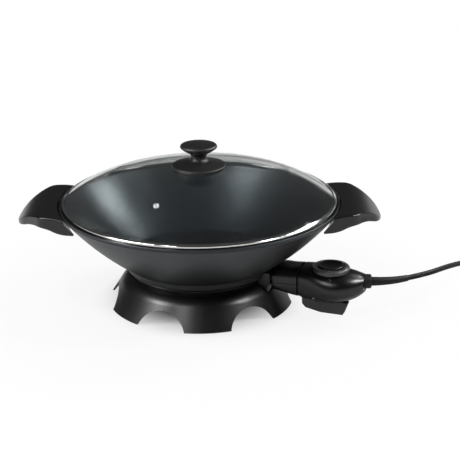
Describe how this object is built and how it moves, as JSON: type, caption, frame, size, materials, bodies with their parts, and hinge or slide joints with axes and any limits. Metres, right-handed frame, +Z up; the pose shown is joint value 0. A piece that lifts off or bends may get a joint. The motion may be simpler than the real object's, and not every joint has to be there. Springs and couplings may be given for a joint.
{
  "type": "electric wok",
  "caption": "Electric wok: round cast pan with domed glass lid, two side handles, scalloped base and a plug-in thermostat probe with dial, ejector lever and mains lead.",
  "frame": {"origin": "on the table, under the pan's axis", "axes": "+Z up, +X through the two handles towards the probe's side, +Y away from the user"},
  "size_m": [0.7345, 0.37, 0.217],
  "materials": {
    "nonstick_cast_aluminium": "satin",
    "moulded_base": "satin",
    "pad_rubber": "matte",
    "plated_steel": "satin",
    "screw_steel": "satin",
    "element_sheath": "satin",
    "pin_steel": "polished",
    "seal_ceramic": "matte",
    "coated_steel": "satin",
    "handle_phenolic": "satin",
    "tempered_glass": "polished",
    "rim_stainless": "polished",
    "knob_phenolic": "satin",
    "washer_silicone": "matte",
    "probe_plastic": "satin",
    "collar_rubber": "matte",
    "lens_smoked": "polished",
    "block_melamine": "matte",
    "contact_brass": "satin",
    "rod_steel": "satin",
    "gland_rubber": "matte",
    "cord_rubber": "satin",
    "tie_plastic": "matte",
    "plug_rubber": "satin",
    "lever_plastic": "matte",
    "dial_plastic": "satin"
  },
  "bodies": {
    "wok": {"wok_pan": "nonstick_cast_aluminium", "base_skirt": "moulded_base", "foot_pads": "pad_rubber", "seat_ring": "moulded_base", "heat_shield": "plated_steel", "base_screws": "screw_steel", "heating_element": "element_sheath", "terminal_pins": "pin_steel", "pin_seals": "seal_ceramic", "socket_guard": "coated_steel", "handle_right": "handle_phenolic", "handle_left": "handle_phenolic", "handle_screws": "screw_steel"},
    "lid": {"lid_glass": "tempered_glass", "lid_rim": "rim_stainless", "vent_grommet": "rim_stainless", "knob_base": "knob_phenolic", "lid_knob": "knob_phenolic", "knob_washer": "washer_silicone", "knob_screw": "screw_steel"},
    "probe": {"probe_nose": "probe_plastic", "probe_collar": "collar_rubber", "housing_upper": "probe_plastic", "housing_lower": "probe_plastic", "housing_screws": "screw_steel", "indicator_lens": "lens_smoked", "lever_pin": "pin_steel", "contact_block": "block_melamine", "contact_sleeves": "contact_brass", "sensor_rod": "rod_steel", "thermostat_frame": "plated_steel", "contact_blades": "contact_brass", "cord_gland": "gland_rubber", "strain_relief": "gland_rubber", "mains_cord": "cord_rubber", "cord_coil": "cord_rubber", "coil_tie": "tie_plastic", "cord_tail": "cord_rubber", "plug_body": "plug_rubber", "plug_pins": "pin_steel"},
    "dial": {"dial_knob": "dial_plastic", "dial_shaft": "pin_steel"},
    "lever": {"release_lever": "lever_plastic"}
  },
  "joints": [
    {"name": "lid_lift", "type": "slide", "parent": "wok", "child": "lid", "axis": [0, 0, 1], "range_m": [0, 0.15]},
    {"name": "probe_plug", "type": "slide", "parent": "wok", "child": "probe", "axis": [0.9397, -0.342, 0], "range_m": [0, 0.09]},
    {"name": "dial_turn", "type": "hinge", "parent": "probe", "child": "dial", "pos_m": [0.17055, -0.06208, 0.066], "axis": [0, 0, 1], "range_deg": [-285, 0]},
    {"name": "lever_swing", "type": "hinge", "parent": "probe", "child": "lever", "pos_m": [0.14133, -0.05144, 0.0365], "axis": [-0.342, -0.9397, 0], "range_deg": [0, 8]}
  ]
}
